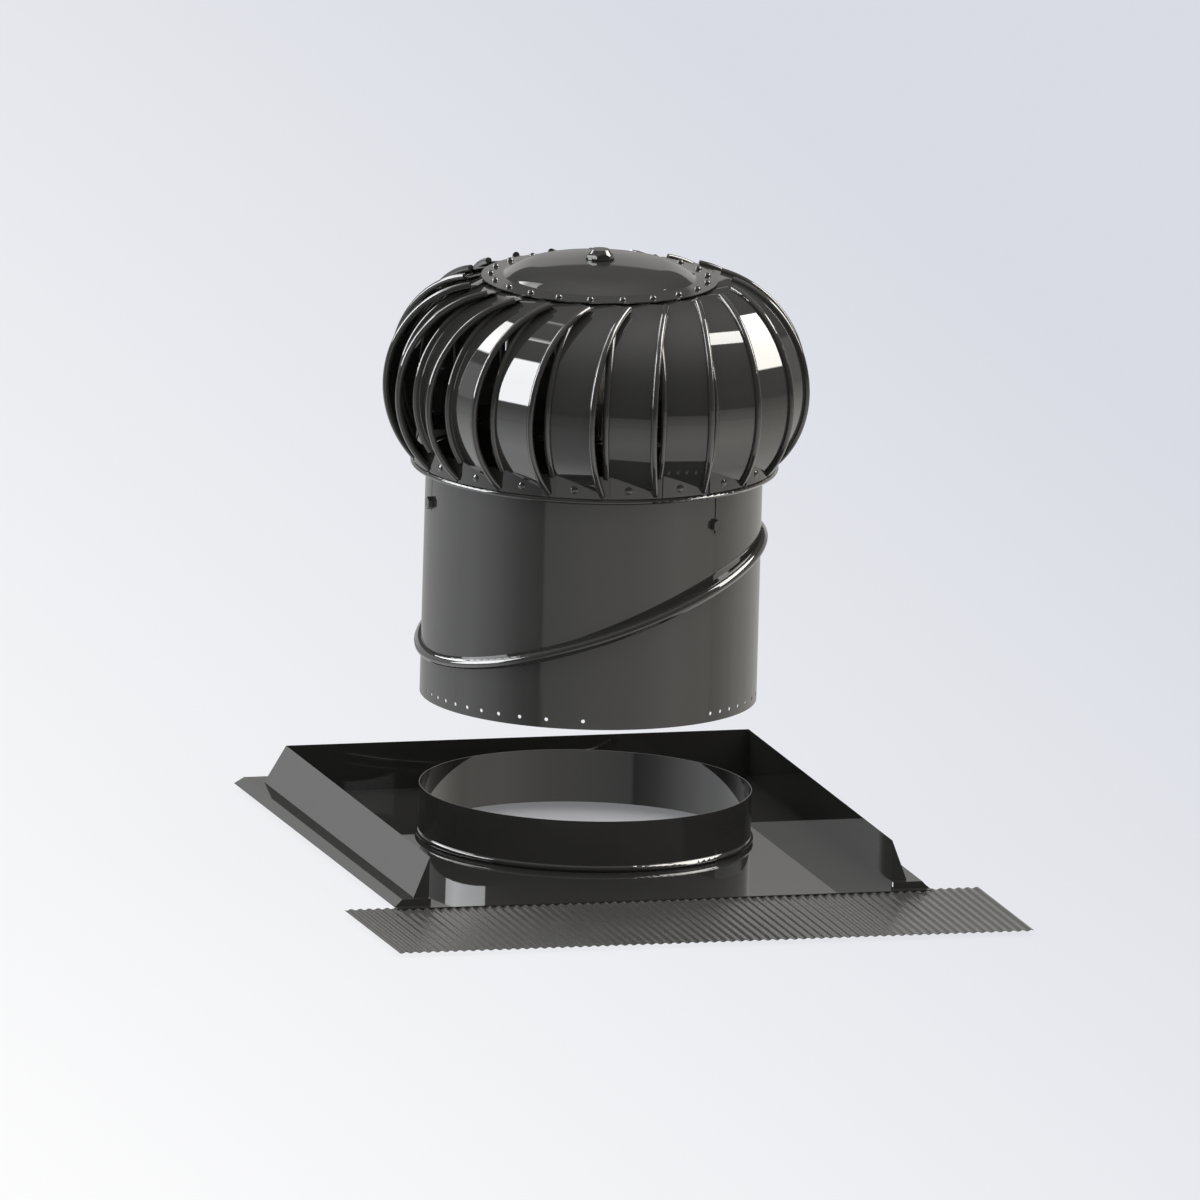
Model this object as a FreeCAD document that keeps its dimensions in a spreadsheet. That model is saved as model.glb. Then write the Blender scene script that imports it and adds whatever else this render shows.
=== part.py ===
import FreeCAD, Part
import math
import os
import re

import Sketcher
from FreeCAD import Placement, Rotation, Vector

# Roof turbine ventilator: a flashing tray with a round collar, a two-part neck that swivels on an
# oblique plane to suit the roof pitch, and a rotor of curved, hemmed vanes on a central spindle.
# Millimetres, +Z up, origin on the collar's axis in the top face of the tray's plate.
# The upper unit stands lifted off the collar, as it does before it is fitted.

DOC = FreeCAD.newDocument("RoofTurbineVentilator")
SHEET = DOC.addObject("Spreadsheet::Sheet", "Sizes")

SIZES = {
    # clearances
    "seat_gap": 0.3,
    "running_gap": 0.3,
    "shaft_fit": 0.05,
    "bolt_clearance": 0.3,
    # flashing tray
    "tray_sheet": 0.8,
    "tray_half_width": 216.4,
    "tray_back": 220.0,
    "tray_front": 246.0,
    "tray_lip_front": 253.0,
    "tray_front_edge": 262.0,
    "upstand_height": 43.0,
    "upstand_spread": 14.3,
    "upstand_back_spread": 17.3,
    "ledge_height": 6.2,
    "ledge_width": 12.5,
    "ledge_back_width": 23.0,
    "lip_spread": 7.0,
    # corrugated apron
    "apron_half_width": 296.7,
    "apron_overlap": 10.0,
    "apron_depth": 178.5,
    "apron_sheet": 0.5,
    "apron_pitch": 8.3,
    "apron_wave": 1.2,
    # collar
    "collar_radius": 149.7,
    "collar_sheet": 0.8,
    "collar_height": 47.0,
    "collar_bead": 3.1,
    # neck
    "neck_radius": 151.5,
    "neck_sheet": 0.7,
    "neck_foot": 131.7,
    "neck_top": 347.6,
    "swivel_height": 229.0,
    "swivel_slope": 20.0,
    "swivel_bead": 5.0,
    "swivel_bead_radius": 161.6,
    "swivel_lip_reach": 1.6,
    "swivel_sheet": 0.6,
    "scale_hole": 1.7,
    "scale_hole_height": 7.6,
    "slit_width": 1.3,
    "slit_depth": 42.6,
    # bracket in the neck
    "bolt_drop": 34.8,
    "bolt_radius": 3.0,
    "bolt_head": 4.0,
    "bolt_flats": 10.0,
    "bracket_foot": 3.0,
    "bracket_foot_height": 30.0,
    "bracket_foot_angle": 12.0,
    "arm_thickness": 4.0,
    "arm_height": 12.0,
    "hub_radius": 20.0,
    "hub_height": 26.0,
    "arm_drop": 6.5,
    # spindle and bearings
    "spindle_radius": 7.5,
    "spindle_top": 504.0,
    "spindle_shoulder": 12.0,
    "bearing_radius": 16.0,
    "bearing_race": 4.1,
    "bearing_width": 9.0,
    "lower_bearing": 353.0,
    "upper_bearing": 492.0,
    "housing_wall": 5.0,
    "lower_flange": 34.0,
    "upper_flange": 44.0,
    # rotor
    "vane_sheet": 0.8,
    "vane_reach": 179.0,
    "vane_outer": 73.6,
    "vane_width": 49.3,
    "vane_equator": 416.0,
    "vane_upper_arc": 101.5,
    "vane_lower_arc": 93.0,
    "vane_hem": 3.0,
    "vane_proud": 3.4,
    "vane_outer_turn": 77.6,
    "vane_inner_turn": 65.5,
    "vane_tab": 13.0,
    "vane_tab_width": 22.0,
    "vane_brow": 2.0,
    "vane_foot_inset": 3.8,
    "band_radius": 163.0,
    "band_sheet": 0.8,
    "band_foot": 344.0,
    "band_height": 23.0,
    "band_bead": 2.5,
    "brim_radius": 106.5,
    "brim_height": 514.1,
    "dome_radius": 92.0,
    "dome_step": 3.0,
    "dome_rise": 18.2,
    "dome_crown": 420.0,
    "dome_shoulder": 66.0,
    "dome_sheet": 1.0,
    "rivet_circle": 98.0,
    "rivet_lead": 4.0,
    "band_rivet_height": 10.6,
    "band_rivet_chord": 47.4,
    "rivet_head": 3.6,
    "top_plate_radius": 97.0,
    "top_plate_sheet": 1.5,
    "stud_radius": 5.0,
    "washer_radius": 13.0,
    "washer_sheet": 1.5,
    "cap_nut_flats": 21.0,
    "cap_nut_height": 6.9,
    "spider_width": 20.0,
    "spider_sheet": 3.0,
    "spider_rise": 2.5,
    "spider_ring": 36.0,
    "spider_foot_angle": 7.0,
}
VANES = 21
ARMS = 3
FRONT_VANE = -106.95
# The pitch scales: first and last hole as shares of the neck's full bend, the number of holes
# and the angle round the neck at which the scale's zero lies.
SCALES = ((0.644, 0.9715, 11, -261.0), (0.75, 0.9225, 7, -157.9))
# Cutting shapes reach this many times past the body they trim.
SPARE = 1.2

for row, (alias, value) in enumerate(SIZES.items(), start=1):
    SHEET.set(f"A{row}", alias)
    SHEET.set(f"B{row}", str(value))
    SHEET.setAlias(f"B{row}", alias)
DOC.recompute()

ALIASES = re.compile(r"\b(" + "|".join(SIZES) + r")\b")


def bound(text):
    """An expression on the sheet, from sizes named by their aliases."""
    return ALIASES.sub(r"Sizes.\1", text)


def number(text):
    """The present value of such an expression."""
    return float(SHEET.evalExpression(ALIASES.sub(r".\1", text)))


def tie(thing, path, text):
    thing.setExpression(path, bound(text))


def new_body(label):
    body = DOC.addObject("PartDesign::Body", label)
    body.Label = label
    return body


def new_sketch(body, plane, offset="0"):
    """A sketch on one of the body's own planes, moved along its normal."""
    sketch = body.newObject("Sketcher::SketchObject", "Profile")
    base = next(o for o in body.Origin.OriginFeatures if o.Role == plane)
    sketch.AttachmentSupport = [(base, "")]
    sketch.MapMode = "FlatFace"
    sketch.AttachmentOffset = Placement(Vector(0, 0, number(offset)), Rotation())
    if offset != "0":
        tie(sketch, ".AttachmentOffset.Base.z", offset)
    return sketch


def pin(sketch, geometry, point, across=None, up=None):
    """Ties a point of the sketch to expressions, measured from its origin."""
    for kind, text in (("DistanceX", across), ("DistanceY", up)):
        if text is not None:
            size = number(text)
            index = sketch.addConstraint(Sketcher.Constraint(kind, -1, 1, geometry, point, size))
            tie(sketch, f"Constraints[{index}]", text)


def polygon(sketch, corners):
    """A closed outline with straight sides through corners given as pairs of expressions."""
    places = [Vector(number(x), number(y), 0) for x, y in corners]
    first = sketch.GeometryCount
    count = len(corners)
    for i in range(count):
        sketch.addGeometry(Part.LineSegment(places[i], places[(i + 1) % count]), False)
    for i in range(count):
        sketch.addConstraint(
            Sketcher.Constraint("Coincident", first + i, 2, first + (i + 1) % count, 1)
        )
    for i, (x, y) in enumerate(corners):
        pin(sketch, first + i, 1, x, y)


def circle(sketch, x, y, radius):
    place = Vector(number(x), number(y), 0)
    index = sketch.addGeometry(Part.Circle(place, Vector(0, 0, 1), number(radius)), False)
    pin(sketch, index, 3, x, y)
    size = sketch.addConstraint(Sketcher.Constraint("Radius", index, number(radius)))
    tie(sketch, f"Constraints[{size}]", radius)


def feature(body, kind, sketch, **settings):
    """A feature of the body made from a sketch; text settings are tied to the sheet."""
    made = body.newObject(f"PartDesign::{kind}", kind)
    if kind.endswith("Loft"):
        made.Profile = sketch[0]
        made.Sections = sketch[1:]
        made.Ruled = True
    else:
        made.Profile = sketch
    for name, value in settings.items():
        if isinstance(value, str) and name in ("Length", "Angle"):
            setattr(made, name, number(value))
            tie(made, name, value)
        else:
            setattr(made, name, value)
    return made


def revolve(body, sketch, **settings):
    """The sketch on the XZ plane turned about the Z axis."""
    settings.setdefault("Angle", "360")
    return feature(body, "Revolution", sketch, ReferenceAxis=(sketch, ["V_Axis"]), **settings)


def chain(sketch, pieces, joints):
    """Pieces of an outline, joined where each joint names a piece and its end twice."""
    first = sketch.GeometryCount
    for piece in pieces:
        sketch.addGeometry(piece, False)
    for a, end_a, b, end_b in joints:
        sketch.addConstraint(
            Sketcher.Constraint("Coincident", first + a, end_a, first + b, end_b)
        )


def ring_body(label, corners):
    """A body turned about Z from an outline of radius and height pairs."""
    body = new_body(label)
    sketch = new_sketch(body, "XZ_Plane")
    polygon(sketch, corners)
    revolve(body, sketch)
    return body


def box_corners(inner, outer, low, high):
    return [(inner, low), (outer, low), (outer, high), (inner, high)]


def repeat_round(body, features, count):
    pattern = body.newObject("PartDesign::PolarPattern", "Round")
    pattern.Originals = features
    axis = next(o for o in body.Origin.OriginFeatures if o.Role == "Z_Axis")
    pattern.Axis = (axis, [""])
    pattern.Angle = 360
    pattern.Occurrences = count
    body.Tip = pattern
    return pattern


def primitive(kind, name, place=None, **settings):
    thing = DOC.addObject(f"Part::{kind}", name)
    for key, value in settings.items():
        if isinstance(value, str) and ALIASES.search(value):
            setattr(thing, key, number(value))
            tie(thing, key, value)
        else:
            setattr(thing, key, value)
    if place is not None:
        thing.Placement = place
    return thing


def joined(label, kind, **links):
    thing = DOC.addObject(f"Part::{kind}", label)
    for key, value in links.items():
        setattr(thing, key, value)
    thing.Label = label
    return thing


# Places


def swivel_place():
    """The oblique joint: its plane rises towards +X and its Z axis is the plane's normal."""
    turn = Rotation(Vector(0, 1, 0), -number("swivel_slope"))
    return Placement(Vector(0, 0, number("swivel_height")), turn)


def turned(angle):
    return Placement(Vector(0, 0, 0), Rotation(Vector(0, 0, 1), angle))


# Flashing tray


def tray_rectangle(body, height, half_width, front, back):
    sketch = new_sketch(body, "XY_Plane", height)
    polygon(
        sketch,
        [
            (f"-({half_width})", f"-({front})"),
            (half_width, f"-({front})"),
            (half_width, back),
            (f"-({half_width})", back),
        ],
    )
    return sketch


def flashing_tray():
    """Plate with folded upstands on three sides, a ledge and a turned-down lip round them."""
    body = new_body("flashing_tray")
    foot_half = "tray_half_width + upstand_spread"
    foot_back = "tray_back + upstand_back_spread"
    rim_half = f"{foot_half} + ledge_width"
    rim_back = f"{foot_back} + ledge_back_width"
    wall_foot = (foot_half, "tray_front", foot_back)
    wall_top = ("tray_half_width", "tray_front", "tray_back")
    rim_top = (rim_half, "tray_lip_front", rim_back)
    rim_foot = (f"{rim_half} + lip_spread", "tray_lip_front", f"{rim_back} + lip_spread")

    def loft(kind, low, low_size, high, high_size, inset):
        sections = []
        for height, (half, front, back) in ((low, low_size), (high, high_size)):
            sections.append(
                tray_rectangle(body, height, half + inset, front + inset, back + inset)
            )
        feature(body, kind, sections)

    inset = " - tray_sheet"
    loft("AdditiveLoft", "-tray_sheet", rim_foot, "ledge_height", rim_top, "")
    loft("AdditiveLoft", "ledge_height", wall_foot, "upstand_height", wall_top, "")
    loft("SubtractiveLoft", "-tray_sheet", rim_foot, "ledge_height - tray_sheet", rim_top, inset)
    slope = "(upstand_height - 3 * tray_sheet)"
    shell_top = ("tray_half_width + tray_sheet", "tray_front - tray_sheet", "tray_back + tray_sheet")
    shell_foot = (f"{foot_half}{inset}", f"tray_front{inset}", f"{foot_back}{inset}")
    loft("SubtractiveLoft", "ledge_height - tray_sheet", shell_foot, slope, shell_top, "")
    core = tray_rectangle(
        body, "-tray_sheet", "tray_half_width + tray_sheet", "tray_front", "tray_back + tray_sheet"
    )
    feature(body, "Pad", core, Length="upstand_height - 2 * tray_sheet")
    basin = tray_rectangle(
        body, "0", "tray_half_width", "tray_lip_front + tray_sheet", "tray_back"
    )
    feature(body, "Pocket", basin, Length="upstand_height * 2", Reversed=True)
    front = tray_rectangle(
        body, "-tray_sheet", rim_foot[0], "tray_front_edge", "-tray_front + tray_sheet"
    )
    feature(body, "Pad", front, Length="tray_sheet")
    hole = new_sketch(body, "XY_Plane", "tray_sheet")
    circle(hole, "0", "0", "collar_radius + seat_gap")
    feature(body, "Pocket", hole, Length="tray_sheet * 3")
    return body


def flashing_apron():
    """Flexible corrugated sheet under the tray's front edge; its waves run front to back."""
    half = number("apron_half_width")
    waves = round(2 * half / number("apron_pitch"))
    step = half / waves
    top = -number("tray_sheet") - number("seat_gap") - number("apron_wave") / 2
    back = -number("tray_front_edge") + number("apron_overlap")

    def wave(lift, order):
        edges = []
        for i in order:
            start = Vector(-half + i * step, back, top + lift)
            side = 1 if i % 2 else -1
            middle = start + Vector(step / 2, 0, side * number("apron_wave") / 2)
            edges.append(Part.Arc(start, middle, start + Vector(step, 0, 0)).toShape())
        return edges

    lower = wave(-number("apron_sheet"), range(2 * waves))
    upper = wave(0.0, range(2 * waves))
    ends = []
    for x in (-half, half):
        low = Vector(x, back, top - number("apron_sheet"))
        ends.append(Part.LineSegment(low, Vector(x, back, top)).toShape())
    outline = DOC.addObject("Part::Feature", "apron_outline")
    outline.Shape = Part.Face(Part.Wire(Part.__sortEdges__(lower + upper + ends)))
    sheet = primitive("Extrusion", "flashing_apron", Base=outline, Dir=Vector(0, -1, 0),
                      DirMode="Custom", LengthFwd="apron_depth", Solid=True)
    sheet.Label = "flashing_apron"
    return sheet


def flashing_collar():
    """Round throat with a rolled bead at its foot, which stops the neck."""
    body = ring_body(
        "flashing_collar",
        box_corners("collar_radius - collar_sheet", "collar_radius", "-tray_sheet", "collar_height"),
    )
    bead = new_sketch(body, "XZ_Plane")
    circle(bead, "collar_radius - collar_sheet", "seat_gap + collar_bead", "collar_bead")
    revolve(body, bead)
    bore = new_sketch(body, "XY_Plane", "collar_height")
    circle(bore, "0", "0", "collar_radius - collar_sheet")
    feature(body, "Pocket", bore, Length="collar_height * 2")
    return body


# Neck


def neck_tube(label, low, high, keep_above):
    """A straight tube trimmed along the swivel's oblique plane."""
    body = ring_body(label, box_corners("neck_radius - neck_sheet", "neck_radius", low, high))
    half = f"neck_radius * {SPARE}"
    rise = f"{half} * tan(swivel_slope * 1 deg)"
    # the upper tube ends under the bead's own flange and the lower one inside its seat's flange
    gap = "" if keep_above else " - seat_gap - neck_sheet / 2"
    floor = f"swivel_height + (swivel_bead - swivel_sheet{gap}) / cos(swivel_slope * 1 deg)"
    beyond = f"{floor} - neck_radius * 2" if keep_above else f"{floor} + neck_radius * 2"
    waste = new_sketch(body, "XZ_Plane")
    polygon(
        waste,
        [
            (f"-{half}", f"{floor} - {rise}"),
            (half, f"{floor} + {rise}"),
            (half, beyond),
            (f"-{half}", beyond),
        ],
    )
    feature(body, "Pocket", waste, Length="neck_radius * 3", Midplane=True)
    return body


def trimmed_ring(label, profile_arcs):
    """A ring turned about the oblique axis, with the neck's bore cut through it."""
    body = new_body(label + "_ring")
    sketch = new_sketch(body, "XZ_Plane")
    profile_arcs(sketch)
    revolve(body, sketch)
    body.Placement = swivel_place()
    bore = primitive("Cylinder", label + "_bore", Placement(Vector(0, 0, 0), Rotation()),
                     Radius="neck_radius - neck_sheet", Height="neck_top * 2")
    return joined(label + "_rim", "Cut", Base=body, Tool=bore)


def bead_channel(sketch):
    """Hollow round bead: a flat flange, then round the outside and down to the lip."""
    centre = Vector(number("swivel_bead_radius"), 0, 0)
    outer = number("swivel_bead")
    inner = number("swivel_bead - swivel_sheet")
    root = number("neck_radius - neck_sheet * 2")
    lip = math.acos(number("swivel_lip_reach") / number("swivel_bead - swivel_sheet / 2"))
    axis = Vector(0, 0, 1)
    flange, flange_under = Vector(root, outer, 0), Vector(root, inner, 0)
    outer_arc = Part.ArcOfCircle(Part.Circle(centre, axis, outer), -lip, math.pi / 2)
    inner_arc = Part.ArcOfCircle(Part.Circle(centre, axis, inner), -lip, math.pi / 2)
    pieces = [
        Part.LineSegment(flange, centre + Vector(0, outer, 0)),
        outer_arc,
        Part.LineSegment(outer_arc.StartPoint, inner_arc.StartPoint),
        inner_arc,
        Part.LineSegment(centre + Vector(0, inner, 0), flange_under),
        Part.LineSegment(flange_under, flange),
    ]
    joints = [(0, 2, 1, 2), (1, 1, 2, 1), (2, 2, 3, 1), (3, 2, 4, 1), (4, 2, 5, 1), (5, 2, 0, 1)]
    chain(sketch, pieces, joints)


def seat_flange(sketch):
    """Flat flange with a turned-down edge, on which the bead rides."""
    top = "swivel_bead - swivel_sheet - seat_gap"
    edge = "swivel_bead_radius + swivel_bead - swivel_sheet - running_gap * 4"
    polygon(
        sketch,
        [
            ("neck_radius - neck_sheet * 2", top),
            ("swivel_bead_radius", top),
            (edge, "swivel_bead / 3"),
            (edge, "-swivel_bead / 3"),
            (f"{edge} - neck_sheet", "-swivel_bead / 3"),
            (f"{edge} - neck_sheet", "swivel_bead / 3 - neck_sheet / 3"),
            ("swivel_bead_radius - neck_sheet / 2", f"{top} - neck_sheet"),
            ("neck_radius - neck_sheet * 2", f"{top} - neck_sheet"),
        ],
    )


def scale_angles():
    """Angles of the pitch scale's holes, which follow the swivel's bend for equal pitch steps."""
    slope = math.radians(number("swivel_slope"))

    angles = []
    for low, high, count, zero in SCALES:
        for i in range(count):
            share = low + (high - low) * i / (count - 1)
            half_turn = math.asin(math.sin(share * slope) / math.sin(slope))
            angles.append(math.degrees(2 * half_turn) + zero)
    return angles


def lower_neck():
    """Lower half: slides over the collar, carries the pitch scale and the swivel's seat."""
    tube = neck_tube("lower_tube", "neck_foot", "swivel_height + neck_radius", False)
    pins = []
    for angle in scale_angles():
        reach = Vector(0, 0, number("neck_foot + scale_hole_height"))
        lean = Rotation(Vector(0, 0, 1), angle).multiply(Rotation(Vector(0, 1, 0), 90))
        start = turned(angle).multVec(Vector(number("neck_radius - 5 * neck_sheet"), 0, 0))
        pins.append(primitive("Cylinder", "scale_pin", Placement(reach + start, lean),
                              Radius="scale_hole", Height="neck_sheet * 9"))
    punched = joined("lower_punched", "Cut", Base=tube, Tool=joined("scale", "Compound", Links=pins))
    rim = trimmed_ring("lower_swivel", seat_flange)
    return joined("lower_neck", "MultiFuse", Shapes=[punched, rim])


def upper_neck():
    """Upper half: its bead turns on the seat; slits and bolt holes at its top hold the bracket."""
    tube = neck_tube("upper_tube", "swivel_height - neck_radius", "neck_top", True)
    slit = new_sketch(tube, "YZ_Plane")
    polygon(
        slit,
        [
            ("-slit_width / 2", "neck_top - slit_depth"),
            ("slit_width / 2", "neck_top - slit_depth"),
            ("slit_width / 2", "neck_top + slit_width"),
            ("-slit_width / 2", "neck_top + slit_width"),
        ],
    )
    slit_cut = feature(tube, "Pocket", slit, Length="neck_radius + bolt_radius")
    hole = new_sketch(tube, "YZ_Plane")
    circle(hole, "0", "neck_top - bolt_drop", "bolt_radius + bolt_clearance")
    hole_cut = feature(tube, "Pocket", hole, Length="neck_radius + bolt_radius")
    repeat_round(tube, [slit_cut, hole_cut], ARMS)
    rim = trimmed_ring("upper_swivel", bead_channel)
    return joined("upper_neck", "MultiFuse", Shapes=[tube, rim])


# Bracket and spindle


def arm_angles():
    return [180 + 360 / ARMS * i for i in range(ARMS)]


def neck_bracket():
    """Three flat arms from a hub to curved feet on the inside of the neck."""
    bolt = "(neck_top - bolt_drop)"
    foot_low = f"{bolt} - bracket_foot_height / 2 - arm_height / 6"
    arm_low = f"{bolt} - arm_drop - arm_height"
    foot_face = "neck_radius - neck_sheet - seat_gap"
    body = ring_body(
        "neck_bracket",
        box_corners("spindle_radius + shaft_fit", "hub_radius", arm_low, f"{arm_low} + hub_height"),
    )
    arm = new_sketch(body, "XY_Plane", arm_low)
    polygon(
        arm,
        [
            ("-(hub_radius - 1)", "-arm_thickness / 2"),
            ("-(hub_radius - 1)", "arm_thickness / 2"),
            (f"-({foot_face} - bracket_foot / 2)", "arm_thickness / 2"),
            (f"-({foot_face} - bracket_foot / 2)", "-arm_thickness / 2"),
        ],
    )
    arm_pad = feature(body, "Pad", arm, Length="arm_height")
    foot = new_sketch(body, "XZ_Plane")
    polygon(
        foot,
        box_corners(
            f"-({foot_face})", f"-({foot_face} - bracket_foot)", foot_low,
            f"{foot_low} + bracket_foot_height",
        ),
    )
    foot_sweep = revolve(body, foot, Angle="bracket_foot_angle", Midplane=True)
    hole = new_sketch(body, "YZ_Plane", "-neck_radius * 0.8")
    circle(hole, "0", bolt, "bolt_radius + bolt_clearance")
    hole_cut = feature(body, "Pocket", hole, Length="neck_radius", Reversed=False)
    repeat_round(body, [arm_pad, foot_sweep, hole_cut], ARMS)
    return body


def hexagon_prism(name, flats, height):
    prism = primitive("Prism", name, Polygon=6, Height=height)
    prism.Circumradius = number(f"{flats} / 2") / math.cos(math.pi / 6)
    tie(prism, "Circumradius", f"{flats} / 2 / cos(30 deg)")
    return prism


def radial_place(angle, reach, height):
    """Local Z points outwards from the axis."""
    lean = Rotation(Vector(0, 0, 1), angle).multiply(Rotation(Vector(0, 1, 0), 90))
    return Placement(turned(angle).multVec(Vector(reach, 0, height)), lean)


def group(label, source, places):
    """Copies of one shape at several places, kept as separate solids."""
    copies = []
    for i, place in enumerate(places):
        copy = DOC.addObject("App::Link", f"{label}_{i + 1}")
        copy.LinkedObject = source
        copy.Placement = place
        copies.append(copy)
    return joined(label, "Compound", Links=copies)


def bracket_bolts():
    """Hex bolts through the neck wall and the bracket's feet."""
    head = hexagon_prism("bolt_head_blank", "bolt_flats", "bolt_head")
    shank = primitive("Cylinder", "bolt_shank", Radius="bolt_radius",
                      Height="neck_sheet + bracket_foot + bolt_flats")
    shank.Placement = Placement(Vector(0, 0, -shank.Height.Value), Rotation())
    bolt = joined("bracket_bolt", "Fuse", Base=head, Tool=shank)
    seat = number("neck_radius + seat_gap")
    height = number("neck_top - bolt_drop")
    return group("bracket_bolts", bolt, [radial_place(a, seat, height) for a in arm_angles()])


def bracket_nuts():
    """Nuts on the inner side of the bracket's feet."""
    blank = hexagon_prism("nut_blank", "bolt_flats", "bolt_head")
    bore = primitive("Cylinder", "nut_bore", Radius="bolt_radius + shaft_fit", Height="bolt_head")
    nut = joined("bracket_nut", "Cut", Base=blank, Tool=bore)
    seat = number("neck_radius - neck_sheet - seat_gap * 2 - bracket_foot - bolt_head")
    height = number("neck_top - bolt_drop")
    return group("bracket_nuts", nut, [radial_place(a, seat, height) for a in arm_angles()])


HUB_LOW = "(neck_top - bolt_drop - arm_drop - arm_height)"
HUB_TOP = f"({HUB_LOW} + hub_height)"


def spindle():
    """Fixed shaft: a shoulder seats it on the hub and both bearings run on it."""
    foot = f"{HUB_LOW} - bearing_radius"
    shoulder = f"{HUB_TOP} + seat_gap"
    top = "spindle_top"
    return ring_body(
        "spindle",
        [
            ("0", foot), ("spindle_radius", foot), ("spindle_radius", shoulder),
            ("spindle_shoulder", shoulder), ("spindle_shoulder", f"{shoulder} + housing_wall"),
            ("spindle_radius", f"{shoulder} + housing_wall"), ("spindle_radius", f"{top} - 1"),
            ("spindle_radius - 1", top), ("0", top),
        ],
    )


def spindle_nut():
    """Nut under the hub."""
    blank = hexagon_prism("spindle_nut_blank", "hub_radius * 1.2", "spindle_radius * 1.2")
    bore = primitive("Cylinder", "spindle_nut_bore", Radius="spindle_radius + shaft_fit",
                     Height="spindle_radius * 1.2")
    nut = joined("spindle_nut", "Cut", Base=blank, Tool=bore)
    nut.Placement = Placement(
        Vector(0, 0, number(f"{HUB_LOW} - seat_gap - spindle_radius * 1.2")), Rotation()
    )
    return nut


def race(label, inner, outer, low):
    return ring_body(label, box_corners(inner, outer, low, f"{low} + bearing_width"))


def bearings():
    """Inner races on the spindle, outer races in the rotor's housings."""
    split = "spindle_radius + bearing_race"
    for name, low in (("lower", "lower_bearing"), ("upper", "upper_bearing")):
        yield race(f"{name}_inner_race", "spindle_radius + shaft_fit", split, low)
        yield race(f"{name}_outer_race", f"{split} + running_gap", "bearing_radius", low)


# Rotor


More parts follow.
